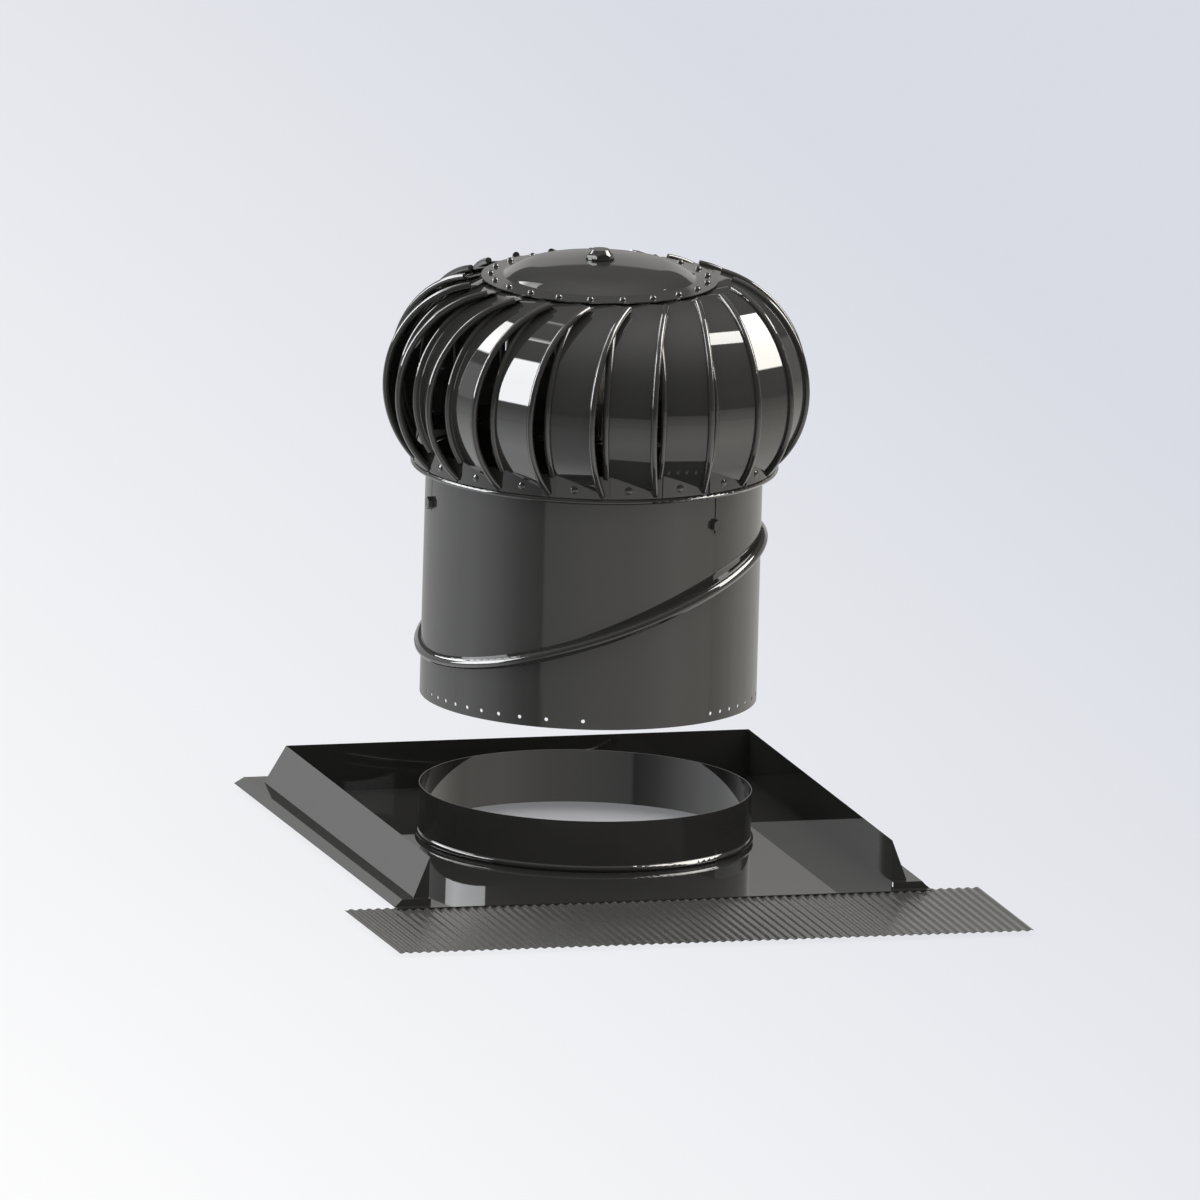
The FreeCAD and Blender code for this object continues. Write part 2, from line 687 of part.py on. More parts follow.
def vane_master():
    """Strip bent along two arcs, with round hems along both edges and a tab at each end.

    In the vane's own frame X runs outwards, Y along its straight chords and Z up. The strip lies
    behind the hems' outer side, between the centre lines of its two hems.
    """
    body = new_body("vane_01")
    upper, lower = number("vane_upper_arc"), number("vane_lower_arc")
    reach, level = number("vane_reach"), number("vane_equator")
    sheet = number("vane_sheet")
    face = number("vane_proud")
    back = face + sheet
    tab_top = number("brim_height - dome_sheet - seat_gap")
    foot = number("band_foot + band_bead")
    axis = Vector(0, 0, 1)
    outer_edge, inner_edge = "(vane_outer - vane_hem)", "(vane_outer - vane_width + vane_hem)"

    def arc(radius, shift, start, end):
        centre = Vector(reach - radius, level, 0)
        return Part.ArcOfCircle(Part.Circle(centre, axis, radius - shift), start, end)

    def angle_to(height, radius, shift):
        return math.asin((height - level) / (radius - shift))

    strip = new_sketch(body, "XZ_Plane", f"-{outer_edge}")
    out_up = arc(upper, face, 0, angle_to(tab_top, upper, face))
    in_up = arc(upper, back, 0, angle_to(tab_top - sheet, upper, back))
    out_low = arc(lower, face, angle_to(foot, lower, face), 0)
    in_low = arc(lower, back, angle_to(foot, lower, back), 0)
    tab_end = out_up.EndPoint.x - number("vane_tab")
    over = Vector(tab_end, tab_top, 0)
    under = Vector(tab_end, tab_top - sheet, 0)
    pieces = [
        out_low,
        out_up,
        Part.LineSegment(out_up.EndPoint, over),
        Part.LineSegment(over, under),
        Part.LineSegment(under, in_up.EndPoint),
        in_up,
        in_low,
        Part.LineSegment(in_low.StartPoint, out_low.StartPoint),
    ]
    joints = [
        (0, 2, 1, 1), (1, 2, 2, 1), (2, 2, 3, 1), (3, 2, 4, 1),
        (4, 2, 5, 2), (5, 1, 6, 2), (6, 1, 7, 1), (7, 2, 0, 1),
    ]
    chain(strip, pieces, joints)
    feature(body, "Pad", strip, Length="vane_width - 2 * vane_hem")

    brow = out_up.EndPoint.x - number("vane_brow")
    beside = new_sketch(body, "XY_Plane", "vane_equator + vane_upper_arc / 2")
    near_side = "vane_outer - vane_width + vane_tab_width"
    polygon(beside, box_corners("0", str(brow), near_side, "vane_outer + vane_sheet"))
    feature(body, "Pocket", beside, Length="vane_upper_arc", Reversed=True)

    wall = "(band_radius + seat_gap)"
    inside = new_sketch(body, "XY_Plane", "band_foot - band_bead")
    circle(inside, "0", "0", f"{wall} + vane_sheet / 2")
    feature(body, "Pocket", inside, Length="band_height + band_bead * 3", Reversed=True)

    tab = new_sketch(body, "XY_Plane", "band_foot + band_bead + seat_gap")
    near = number(f"{inner_edge} + vane_foot_inset")
    far = number(outer_edge)
    arcs = []
    for radius in (number(wall), number(f"{wall} + vane_sheet")):
        ring = Part.Circle(Vector(), axis, radius)
        arcs.append(Part.ArcOfCircle(ring, math.asin(near / radius), math.asin(far / radius)))
    near_arc, far_arc = arcs
    pieces = [
        near_arc,
        Part.LineSegment(near_arc.EndPoint, far_arc.EndPoint),
        far_arc,
        Part.LineSegment(far_arc.StartPoint, near_arc.StartPoint),
    ]
    chain(tab, pieces, [(0, 2, 1, 1), (1, 2, 2, 2), (2, 1, 3, 1), (3, 2, 0, 1)])
    feature(body, "Pad", tab, Length="band_height - band_bead - seat_gap")

    behind = new_sketch(body, "XZ_Plane", f"-{outer_edge} - vane_hem")
    edge = arc(lower, back, angle_to(foot - sheet, lower, back), 0)
    hollow = reach - lower
    corners = [edge.EndPoint, Vector(hollow, level, 0), Vector(hollow, edge.StartPoint.y, 0)]
    pieces = [edge]
    for here, there in zip(corners, corners[1:] + [edge.StartPoint]):
        pieces.append(Part.LineSegment(here, there))
    chain(behind, pieces, [(0, 2, 1, 1), (1, 2, 2, 1), (2, 2, 3, 1), (3, 2, 0, 1)])
    feature(body, "Pocket", behind, Length="vane_width", Reversed=True)

    swings = [
        ("vane_upper_arc", outer_edge, "vane_outer_turn", False),
        ("vane_upper_arc", inner_edge, "vane_inner_turn", False),
    ]
    for chord in (outer_edge, inner_edge):
        touch = f"sqrt({wall} * {wall} - {chord} * {chord}) - vane_reach + vane_lower_arc"
        swings.append(
            ("vane_lower_arc", chord, f"acos(({touch}) / (vane_lower_arc - vane_hem))", True)
        )
    for radius, chord, angle, down in swings:
        section = new_sketch(body, "XY_Plane", "vane_equator")
        circle(section, "vane_reach - vane_hem", chord, "vane_hem")
        centre = f"vane_reach - {radius}"
        low_end = Vector(number(centre), 0, 0)
        line = section.addGeometry(
            Part.LineSegment(low_end, low_end + Vector(0, reach, 0)), True
        )
        pin(section, line, 1, centre, "0")
        section.addConstraint(Sketcher.Constraint("Vertical", line))
        feature(body, "Revolution", section, ReferenceAxis=(section, ["Axis0"]), Angle=angle,
                Reversed=not down)

    # the hems' lower ends are cut to lie on the band
    trim = new_sketch(body, "XY_Plane", "band_foot - band_bead")
    circle(trim, "0", "0", f"{wall} - seat_gap / 5")
    feature(body, "Pocket", trim, Length="band_height + band_bead * 3", Reversed=True)
    return body


def vanes():
    """Twenty-one equal vanes round the rotor, each an own piece."""
    master = vane_master()
    lag = math.degrees(math.atan2(number("vane_outer"), number("vane_reach")))
    master.Placement = turned(FRONT_VANE - lag)
    made = [master]
    for i in range(1, VANES):
        copy = DOC.addObject("App::Link", f"vane_{i + 1:02d}")
        copy.LinkedObject = master
        copy.Label = f"vane_{i + 1:02d}"
        copy.LinkTransform = False
        copy.Placement = turned(FRONT_VANE - lag + 360 / VANES * i)
        made.append(copy)
    return made


def rotor_band():
    """Ring that carries the vanes' feet, with a rolled bead along its lower edge."""
    body = ring_body(
        "rotor_band",
        box_corners("band_radius - band_sheet", "band_radius", "band_foot", "band_foot + band_height"),
    )
    bead = new_sketch(body, "XZ_Plane")
    circle(bead, "band_radius", "band_foot", "band_bead")
    revolve(body, bead)
    return body


def rotor_spider():
    """Three flat arms from the lower bearing housing to the band."""
    low = "lower_bearing + spider_rise"
    inner = "bearing_radius + shaft_fit + housing_wall + seat_gap"
    reach = "band_radius - band_sheet - seat_gap"
    body = ring_body(
        "rotor_spider", box_corners(inner, "spider_ring", low, f"{low} + spider_sheet")
    )
    arm = new_sketch(body, "XY_Plane", low)
    polygon(
        arm,
        [
            ("spider_ring - spider_sheet", "-spider_width / 2"),
            (f"{reach} - spider_sheet / 2", "-spider_width / 2"),
            (f"{reach} - spider_sheet / 2", "spider_width / 2"),
            ("spider_ring - spider_sheet", "spider_width / 2"),
        ],
    )
    arm_pad = feature(body, "Pad", arm, Length="spider_sheet")
    foot = new_sketch(body, "XZ_Plane")
    polygon(foot, box_corners(f"{reach} - spider_sheet", reach, low, "band_foot + band_height - 1"))
    foot_sweep = revolve(body, foot, Angle="spider_foot_angle", Midplane=True)
    repeat_round(body, [arm_pad, foot_sweep], ARMS)
    return body


def lower_housing():
    """Cup round the lower bearing with a flange that carries the spider."""
    inner = "bearing_radius + shaft_fit"
    wall = f"{inner} + housing_wall"
    low = "lower_bearing - running_gap"
    top = "lower_bearing + bearing_width + seat_gap"
    shelf = "lower_bearing + spider_rise + spider_sheet + seat_gap"
    throat = "spindle_radius + bearing_race + running_gap"
    return ring_body(
        "lower_bearing_housing",
        [
            (inner, low), (wall, low), (wall, shelf), ("lower_flange", shelf),
            ("lower_flange", f"{shelf} + spider_sheet"), (wall, f"{shelf} + spider_sheet"),
            (wall, f"{top} + spider_sheet"), (throat, f"{top} + spider_sheet"), (throat, top),
            (inner, top),
        ],
    )


PLATE_TOP = "(brim_height - dome_sheet - seat_gap - vane_sheet - seat_gap)"


def upper_housing():
    """Closed cup round the upper bearing, with the stud that holds the dome down."""
    inner = "bearing_radius + shaft_fit"
    wall = f"{inner} + housing_wall"
    low = "upper_bearing - running_gap"
    flange_top = f"{PLATE_TOP} - top_plate_sheet - seat_gap"
    roof = f"{flange_top} - housing_wall / 2"
    stud_top = "brim_height + dome_rise + seat_gap + washer_sheet + cap_nut_height / 2"
    return ring_body(
        "upper_bearing_housing",
        [
            (inner, low), (wall, low), (wall, f"{flange_top} - spider_sheet"),
            ("upper_flange", f"{flange_top} - spider_sheet"), ("upper_flange", flange_top),
            ("stud_radius", flange_top), ("stud_radius", stud_top), ("0", stud_top), ("0", roof),
            (inner, roof),
        ],
    )


def top_plate():
    """Disc under the vanes' upper tabs."""
    return ring_body(
        "top_plate",
        box_corners(
            "stud_radius + bolt_clearance", "top_plate_radius",
            f"{PLATE_TOP} - top_plate_sheet", PLATE_TOP,
        ),
    )


def dome_cap():
    """Pressed cap: a flat brim over the vanes' tabs, a short steep step and a shallow dome."""
    body = new_body("dome_cap")
    sketch = new_sketch(body, "XZ_Plane")
    brim, sheet = number("brim_height"), number("dome_sheet")
    hole = number("stud_radius + bolt_clearance")
    radius, crown = number("dome_radius"), number("dome_crown")
    step = number("dome_step")
    step_foot = radius + step / 4
    axis = Vector(0, 0, 1)

    # the shoulder's arc leaves the crown without a crease and ends at the head of the step
    lean = math.asin(number("dome_shoulder") / crown)
    inward = Vector(-math.sin(lean), -math.cos(lean), 0)
    crown_centre = Vector(0, brim + number("dome_rise") - crown, 0)
    meeting = crown_centre - inward * crown
    chord = Vector(radius, brim + step, 0) - meeting
    shoulder = chord.Length ** 2 / (2 * chord.dot(inward))
    shoulder_centre = meeting + inward * shoulder

    def face(depth):
        """Crown and shoulder arcs of the outer face, or of one that lies at a depth under it."""
        flat = Part.Circle(crown_centre, axis, crown - depth)
        bend = Part.Circle(shoulder_centre, axis, shoulder - depth)
        low = math.acos((radius - depth - shoulder_centre.x) / (shoulder - depth))
        high = math.pi / 2 - lean
        return (
            Part.ArcOfCircle(flat, high, math.acos(hole / (crown - depth))),
            Part.ArcOfCircle(bend, low, high),
        )

    out_flat, out_bend = face(0)
    in_flat, in_bend = face(sheet)
    corners = [
        out_bend.StartPoint,
        Vector(step_foot, brim, 0),
        Vector(number("brim_radius"), brim, 0),
        Vector(number("brim_radius"), brim - sheet, 0),
        Vector(step_foot - sheet, brim - sheet, 0),
        in_bend.StartPoint,
    ]
    sides = [Part.LineSegment(here, there) for here, there in zip(corners, corners[1:])]
    last = Part.LineSegment(in_flat.EndPoint, out_flat.EndPoint)
    pieces = [out_flat, out_bend, *sides, in_bend, in_flat, last]
    joints = [
        (0, 1, 1, 2), (1, 1, 2, 1), (2, 2, 3, 1), (3, 2, 4, 1), (4, 2, 5, 1), (5, 2, 6, 1),
        (6, 2, 7, 1), (7, 2, 8, 1), (8, 2, 9, 1), (9, 2, 0, 2),
    ]
    chain(sketch, pieces, joints)
    revolve(body, sketch)
    return body


CROWN = "(brim_height + dome_rise + seat_gap)"


def cap_washer():
    return ring_body(
        "cap_washer",
        box_corners("stud_radius + shaft_fit", "washer_radius", CROWN, f"{CROWN} + washer_sheet"),
    )


def cap_nut():
    """Low hexagon nut, closed at its top and tapered to a small flat."""
    blank = hexagon_prism("cap_nut_blank", "cap_nut_flats", "cap_nut_height")
    cone = primitive("Cone", "cap_nut_taper", Radius1="cap_nut_flats * 0.64",
                     Radius2="cap_nut_flats * 0.39", Height="cap_nut_height")
    shaped = joined("cap_nut_shaped", "Common", Base=blank, Tool=cone)
    bore = primitive("Cylinder", "cap_nut_bore", Radius="stud_radius + shaft_fit",
                     Height="cap_nut_height / 2 + seat_gap")
    nut = joined("cap_nut", "Cut", Base=shaped, Tool=bore)
    nut.Placement = Placement(Vector(0, 0, number(f"{CROWN} + washer_sheet")), Rotation())
    return nut


def dome_spacer():
    """Tube round the stud that holds the dome's crown off the top plate."""
    return ring_body(
        "dome_spacer",
        box_corners(
            "stud_radius + shaft_fit", "stud_radius * 1.7", f"{PLATE_TOP} + seat_gap",
            "brim_height + dome_rise - dome_sheet - seat_gap * 2",
        ),
    )


def rivet_head():
    """Round head whose flat side lies on the sheet."""
    return primitive("Sphere", "rivet", Radius="rivet_head", Angle1=0)


def dome_rivets(head):
    """One rivet a vane round the brim."""
    places = []
    for i in range(VANES):
        spot = Vector(number("rivet_circle"), 0, number("brim_height"))
        turn = turned(FRONT_VANE - number("rivet_lead") + 360 / VANES * i)
        places.append(Placement(turn.multVec(spot), turn.Rotation))
    return group("dome_rivets", head, places)


def band_rivets(head):
    """One rivet a vane through its foot tab."""
    seat = number("band_radius + seat_gap + vane_sheet + seat_gap / 2")
    height = number("band_foot + band_rivet_height")
    tab_middle = math.degrees(math.asin(number("band_rivet_chord") / seat))
    lag = math.degrees(math.atan2(number("vane_outer"), number("vane_reach")))
    first = FRONT_VANE - lag + tab_middle
    return group(
        "band_rivets", head,
        [radial_place(first + 360 / VANES * i, seat, height) for i in range(VANES)],
    )


# Build, check and write

SUBPARTS = [flashing_tray(), flashing_apron(), flashing_collar(), lower_neck(), upper_neck()]
SUBPARTS += [neck_bracket(), bracket_bolts(), bracket_nuts(), spindle(), spindle_nut()]
SUBPARTS += list(bearings())
SUBPARTS += vanes()
SUBPARTS += [rotor_band(), rotor_spider(), lower_housing(), upper_housing(), top_plate()]
SUBPARTS += [dome_cap(), cap_washer(), cap_nut(), dome_spacer()]
RIVET = rivet_head()
SUBPARTS += [dome_rivets(RIVET), band_rivets(RIVET)]
DOC.recompute()

for thing in DOC.Objects:
    if {"Invalid", "Error"} & set(thing.State):
        raise RuntimeError(f"{thing.Label} did not recompute: {thing.State}")
    if thing.TypeId in ("PartDesign::Pocket", "PartDesign::SubtractiveLoft"):
        if thing.Shape.Volume >= thing.BaseFeature.Shape.Volume - 1e-6:
            raise RuntimeError(f"{thing.Label} of {thing.getParent().Label} cuts nothing")

os.makedirs("parts", exist_ok=True)
for subpart in SUBPARTS:
    shape = Part.getShape(subpart)
    if shape.isNull() or not shape.isValid() or not shape.Solids:
        raise RuntimeError(f"{subpart.Label} has no valid solid")
    shape.exportStep(f"parts/{subpart.Label}.step")
    print(f"{subpart.Label}: {len(shape.Solids)} solid, {shape.Volume / 1000:.2f} cm3")
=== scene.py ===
import math

import bmesh
import bpy
from mathutils import Matrix, Vector


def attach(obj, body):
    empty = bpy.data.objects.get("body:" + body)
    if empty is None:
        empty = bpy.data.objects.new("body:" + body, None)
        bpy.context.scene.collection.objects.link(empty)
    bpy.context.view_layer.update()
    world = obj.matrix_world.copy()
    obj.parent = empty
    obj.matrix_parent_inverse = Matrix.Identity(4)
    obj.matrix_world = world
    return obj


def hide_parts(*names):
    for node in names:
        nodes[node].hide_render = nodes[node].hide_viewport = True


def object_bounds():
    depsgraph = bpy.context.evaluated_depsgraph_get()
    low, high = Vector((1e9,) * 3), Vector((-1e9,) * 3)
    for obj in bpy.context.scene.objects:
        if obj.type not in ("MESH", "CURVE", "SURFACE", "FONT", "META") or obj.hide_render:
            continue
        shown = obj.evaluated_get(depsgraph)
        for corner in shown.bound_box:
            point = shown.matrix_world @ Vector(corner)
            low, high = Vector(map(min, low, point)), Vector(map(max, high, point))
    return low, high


# %% Load the CAD solids
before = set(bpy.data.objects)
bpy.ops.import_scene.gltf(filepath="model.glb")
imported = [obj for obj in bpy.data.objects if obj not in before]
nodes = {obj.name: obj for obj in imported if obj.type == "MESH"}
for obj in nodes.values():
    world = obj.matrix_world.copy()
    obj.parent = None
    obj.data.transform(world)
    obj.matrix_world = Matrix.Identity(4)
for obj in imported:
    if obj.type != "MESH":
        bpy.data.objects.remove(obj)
cad_low, cad_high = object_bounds()
print("solids:", len(nodes), "size:", [round(side, 4) for side in cad_high - cad_low])

# %% [markdown]
# ## The camera
#
# The photograph has no converging lines: the tray's opposite edges run parallel. An orthographic
# camera gives that look. Its angles and scale come from fitting known circles and corners of the
# object to their places in the picture.

# %% Aim the camera
VIEW_AZIMUTH = math.radians(-16.454)
VIEW_ELEVATION = math.radians(12.451)
VIEW_ROLL = math.radians(1.603)
PIXELS_PER_METRE = 1112.85
PICTURE_SIDE = 1200
ORIGIN_PIXEL = (583.944, 836.623)
CAMERA_DISTANCE = 3.0

level_right = Vector((math.cos(VIEW_AZIMUTH), math.sin(VIEW_AZIMUTH), 0))
towards_camera = Vector(
    (
        math.sin(VIEW_AZIMUTH) * math.cos(VIEW_ELEVATION),
        -math.cos(VIEW_AZIMUTH) * math.cos(VIEW_ELEVATION),
        math.sin(VIEW_ELEVATION),
    )
)
level_up = towards_camera.cross(level_right)
picture_right = level_right * math.cos(VIEW_ROLL) + level_up * math.sin(VIEW_ROLL)
picture_up = level_up * math.cos(VIEW_ROLL) - level_right * math.sin(VIEW_ROLL)

camera_data = bpy.data.cameras.new("photo_camera")
camera_data.type = "ORTHO"
camera_data.ortho_scale = PICTURE_SIDE / PIXELS_PER_METRE
camera = bpy.data.objects.new("photo_camera", camera_data)
bpy.context.scene.collection.objects.link(camera)
middle = PICTURE_SIDE / 2
aim = picture_right * ((middle - ORIGIN_PIXEL[0]) / PIXELS_PER_METRE)
aim += picture_up * ((ORIGIN_PIXEL[1] - middle) / PIXELS_PER_METRE)
turn = Matrix((picture_right, picture_up, towards_camera)).transposed()
camera.matrix_world = Matrix.Translation(aim + towards_camera * CAMERA_DISTANCE) @ turn.to_4x4()
bpy.context.scene.camera = camera
print("the camera aims at", [round(part, 4) for part in aim])

# %% [markdown]
# ## Colours and nodes
#
# Colours are written as sRGB hex values, as a paint card gives them, and one function turns them
# into the linear values that a shader needs. One small helper adds a node to a material, and
# another gives a pattern its place in millimetres, so its scale is one over a real size.


# %% Helpers for materials
def to_linear(hex_colour):
    """Linear red, green, blue and alpha of an sRGB colour such as "#2b2926"."""
    shares = [int(hex_colour[place : place + 2], 16) / 255 for place in (1, 3, 5)]
    return [*(s / 12.92 if s <= 0.04045 else ((s + 0.055) / 1.055) ** 2.4 for s in shares), 1.0]


def add_node(tree, kind, inputs=None, **settings):
    """A new node. An input given another node's socket is wired to it, anything else is its value."""
    made = tree.nodes.new(kind)
    for name, value in settings.items():
        setattr(made, name, value)
    for name, value in (inputs or {}).items():
        if isinstance(value, bpy.types.NodeSocket):
            tree.links.new(value, made.inputs[name])
        else:
            made.inputs[name].default_value = value
    return made


def millimetres(tree):
    """Object coordinates in millimetres."""
    place = add_node(tree, "ShaderNodeTexCoord")
    scaled = add_node(
        tree,
        "ShaderNodeMapping",
        {"Vector": place.outputs["Object"], "Scale": (1000, 1000, 1000)},
    )
    return scaled.outputs["Vector"]


# %% [markdown]
# ## How a coat is made up
#
# A coat is never quite even. Its tone drifts across a panel over a few centimetres, its gloss
# changes in patches of about a centimetre, and it dries with a low peel, which makes a long
# reflection waver a little. Three noises at those sizes drive colour, roughness and bump.

# %% Helper for a coat
TONE_DRIFT_MM = 45
GLOSS_PATCH_MM = 14
GLOSSIEST = 0.8
DULLEST = 1.25
PEEL_METRES = 0.0000012
ENAMEL_IOR = 1.5


def coat(name, light, dark, roughness, peel_mm, metallic=0.0):
    """A finish between two tones, uneven in gloss, with a peel of the given width."""
    material = bpy.data.materials.new(name)
    material.use_nodes = True
    tree = material.node_tree
    shader = tree.nodes["Principled BSDF"]
    shader.inputs["Metallic"].default_value = metallic
    if not metallic:
        shader.inputs["IOR"].default_value = ENAMEL_IOR
    where = millimetres(tree)
    drift = add_node(
        tree, "ShaderNodeTexNoise", {"Vector": where, "Scale": 1 / TONE_DRIFT_MM, "Detail": 3.0}
    )
    tone = add_node(
        tree,
        "ShaderNodeMix",
        {"Factor": drift.outputs["Fac"], 6: to_linear(dark), 7: to_linear(light)},
        data_type="RGBA",
    )
    tree.links.new(tone.outputs[2], shader.inputs["Base Color"])
    patches = add_node(
        tree, "ShaderNodeTexNoise", {"Vector": where, "Scale": 1 / GLOSS_PATCH_MM, "Detail": 5.0}
    )
    gloss = add_node(
        tree,
        "ShaderNodeMapRange",
        {
            "Value": patches.outputs["Fac"],
            "To Min": roughness * GLOSSIEST,
            "To Max": roughness * DULLEST,
        },
    )
    tree.links.new(gloss.outputs["Result"], shader.inputs["Roughness"])
    peel = add_node(
        tree, "ShaderNodeTexNoise", {"Vector": where, "Scale": 1 / peel_mm, "Detail": 1.0}
    )
    relief = add_node(
        tree,
        "ShaderNodeBump",
        {"Height": peel.outputs["Fac"], "Strength": 1.0, "Distance": PEEL_METRES},
    )
    tree.links.new(relief.outputs["Normal"], shader.inputs["Normal"])
    return material


# %% [markdown]
# ## Finishes
#
# The photographed unit is new, so no edge is worn through. An IOR of about 1.5 gives a coat four
# per cent reflection seen square on, and far more at a glancing angle. Each slot that the solids
# come with gets one finish.

# %% Mix the finishes
# sheet coated and baked before it is formed: near black, wet smooth, with sharp reflections
gloss_enamel = coat("gloss_charcoal_enamel", "#2c2c2b", "#282827", 0.022, 3.0)
# soft sheet crimped after coating, which dulls the coat: a grey satin that spreads its lights
satin_apron = coat("satin_crimped_apron", "#434342", "#3c3c3b", 0.16, 3.0)
# heads dipped and baked in the same enamel: small, dark, with a slightly softer glint
hardware_black = coat("black_enamelled_fastener", "#2c2c2b", "#262625", 0.06, 1.0)
# pressed steel blackened in a bath: a dull dark skin, seen only between the vanes
frame_black = coat("black_passivated_steel", "#1a1918", "#121110", 0.28, 2.0)
# bare steel, ground and oiled: bright grey; its real marks are far finer than this millimetre
race_steel = coat("ground_bearing_steel", "#b9b8b4", "#a3a29e", 0.2, 1.0, metallic=1.0)
FINISH_OF_SLOT = {
    "painted_sheet": gloss_enamel,
    "corrugated_flashing": satin_apron,
    "dark_fasteners": hardware_black,
    "black_steel": frame_black,
    "bearing_steel": race_steel,
}
for part in nodes.values():
    slots = part.data.materials
    for place, old in enumerate(slots):
        slots[place] = FINISH_OF_SLOT[old.name]
print("finishes:", sorted(finish.name for finish in FINISH_OF_SLOT.values()))

# %% [markdown]
# ## The cap over the vanes
#
# The cap is pressed from one round blank: a brim that falls a little towards its edge, a tight
# fold, and a shallow crown. A lathe profile makes such a shape. A vertex swung round a centre
# leaves an arc, and spinning the whole profile round the axis gives a skin with clean rings, on
# which the lights' reflections stay smooth.


# %% Helpers for turned pieces
MERGE_METRES = 1e-7


def swing(mesh, corner, centre, angle, steps):
    """Carry a profile's last vertex round a centre; it leaves an arc behind it."""
    made = bmesh.ops.spin(
        mesh, geom=[corner], cent=centre, axis=(0, 1, 0), angle=angle, steps=steps
    )
    return next(item for item in made["geom_last"] if isinstance(item, bmesh.types.BMVert))


def spin_round(mesh, steps):
    """Turn the profile once round the upright axis and close it."""
    bmesh.ops.spin(
        mesh,
        geom=mesh.verts[:] + mesh.edges[:],
        cent=(0, 0, 0),
        axis=(0, 0, 1),
        angle=math.tau,
        steps=steps,
        use_merge=True,
    )
    bmesh.ops.remove_doubles(mesh, verts=mesh.verts, dist=MERGE_METRES)
    bmesh.ops.recalc_face_normals(mesh, faces=mesh.faces)


def finished_piece(name, mesh, material, crease):
    """Make the mesh a piece that rides on the rotor, smooth but for edges past the crease."""
    data = bpy.data.meshes.new(name)
    for face in mesh.faces:
        face.smooth = True
    mesh.to_mesh(data)
    mesh.free()
    data.set_sharp_from_angle(angle=math.radians(crease))
    data.materials.append(material)
    piece = bpy.data.objects.new(name, data)
    bpy.context.scene.collection.objects.link(piece)
    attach(piece, "rotor")
    print(name, "faces:", len(data.polygons))
    return piece


# %% Draw the cap's profile
BRIM_RADIUS = 0.1065
BRIM_EDGE_TOP = 0.515
FOLD_RADIUS = 0.0865
FOLD_TOP = 0.5168
CROWN_TOP = 0.5323
CROWN_ARC = 0.420
CROWN_EDGE = 0.060
STUD_HOLE = 0.0053
CAP_ARC_STEPS = 10

cap = bmesh.new()
crown_centre = Vector((0, 0, CROWN_TOP - CROWN_ARC))
hole_lean = math.asin(STUD_HOLE / CROWN_ARC)
edge_lean = math.asin(CROWN_EDGE / CROWN_ARC)
start = cap.verts.new(
    crown_centre + CROWN_ARC * Vector((math.sin(hole_lean), 0, math.cos(hole_lean)))
)
meeting = swing(cap, start, crown_centre, edge_lean - hole_lean, CAP_ARC_STEPS)
# the shoulder goes on from the crown without a kink and ends at the fold
inward = (crown_centre - meeting.co).normalized()
chord = Vector((FOLD_RADIUS, 0, FOLD_TOP)) - meeting.co
shoulder_arc = chord.length_squared / (2 * chord.dot(inward))
shoulder_turn = 2 * math.asin(chord.length / (2 * shoulder_arc))
shoulder_centre = meeting.co + inward * shoulder_arc
fold = swing(cap, meeting, shoulder_centre, shoulder_turn, CAP_ARC_STEPS)
edge = cap.verts.new((BRIM_RADIUS, 0, BRIM_EDGE_TOP))
cap.edges.new((fold, edge))
print("shoulder turns", round(math.degrees(shoulder_turn), 1), "degrees")

# %% Turn the cap
CAP_TURN_STEPS = 168
CAP_SHEET = 0.001
CAP_CREASE = 30
FOLD_WIDTH = 0.0012
FOLD_SEGMENTS = 4
ON_FOLD = 1e-6

spin_round(cap, CAP_TURN_STEPS)
ring = [
    line
    for line in cap.edges
    if all(abs(end.co.xy.length - FOLD_RADIUS) < ON_FOLD for end in line.verts)
]
bmesh.ops.bevel(
    cap,
    geom=ring,
    offset=FOLD_WIDTH,
    offset_type="OFFSET",
    affect="EDGES",
    segments=FOLD_SEGMENTS,
    profile=0.5,
    material=-1,
)
if max(cap.faces, key=lambda face: face.calc_center_median().z).normal.z < 0:
    bmesh.ops.reverse_faces(cap, faces=cap.faces)
bmesh.ops.solidify(cap, geom=cap.faces[:], thickness=CAP_SHEET)
print("cap top", round(max(corner.co.z for corner in cap.verts), 5), "fold edges", len(ring))
pressed_cap = finished_piece("pressed_cap", cap, gloss_enamel, CAP_CREASE)
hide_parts("dome_cap")

# %% [markdown]
# ## Rivets
#
# Each vane is riveted to the cap's brim through its upper tab, and to the lower band through its
# foot. The brim's rivets have high round heads; those on the band are set almost flat, so that
# they clear the vanes' hems. One profile, spun, gives a head, and copies of it go round.

# %% Helper for rivets
HEAD_SUNK = 0.0004
HEAD_ARC_STEPS = 8
HEAD_TURN_STEPS = 28
HEAD_CREASE = 40


def rivet_heads(name, radius, height, places):
    """One round head for each place, sunk a little into its sheet, all as one piece."""
    heads = bmesh.new()
    ball = (radius**2 + height**2) / (2 * height)
    rim_turn = math.asin(min(radius / ball, 1.0))
    for place in places:
        head = bmesh.new()
        crown = head.verts.new((0, 0, height))
        rim = swing(head, crown, (0, 0, height - ball), rim_turn, HEAD_ARC_STEPS)
        foot = head.verts.new((rim.co.x, 0, -HEAD_SUNK))
        head.edges.new((rim, foot))
        spin_round(head, HEAD_TURN_STEPS)
        bmesh.ops.holes_fill(head, edges=head.edges, sides=0)
        bmesh.ops.recalc_face_normals(head, faces=head.faces)
        bmesh.ops.transform(head, matrix=place, verts=head.verts)
        spare = bpy.data.meshes.new("head")
        head.to_mesh(spare)
        head.free()
        heads.from_mesh(spare)
        bpy.data.meshes.remove(spare)
    return finished_piece(name, heads, hardware_black, HEAD_CREASE)


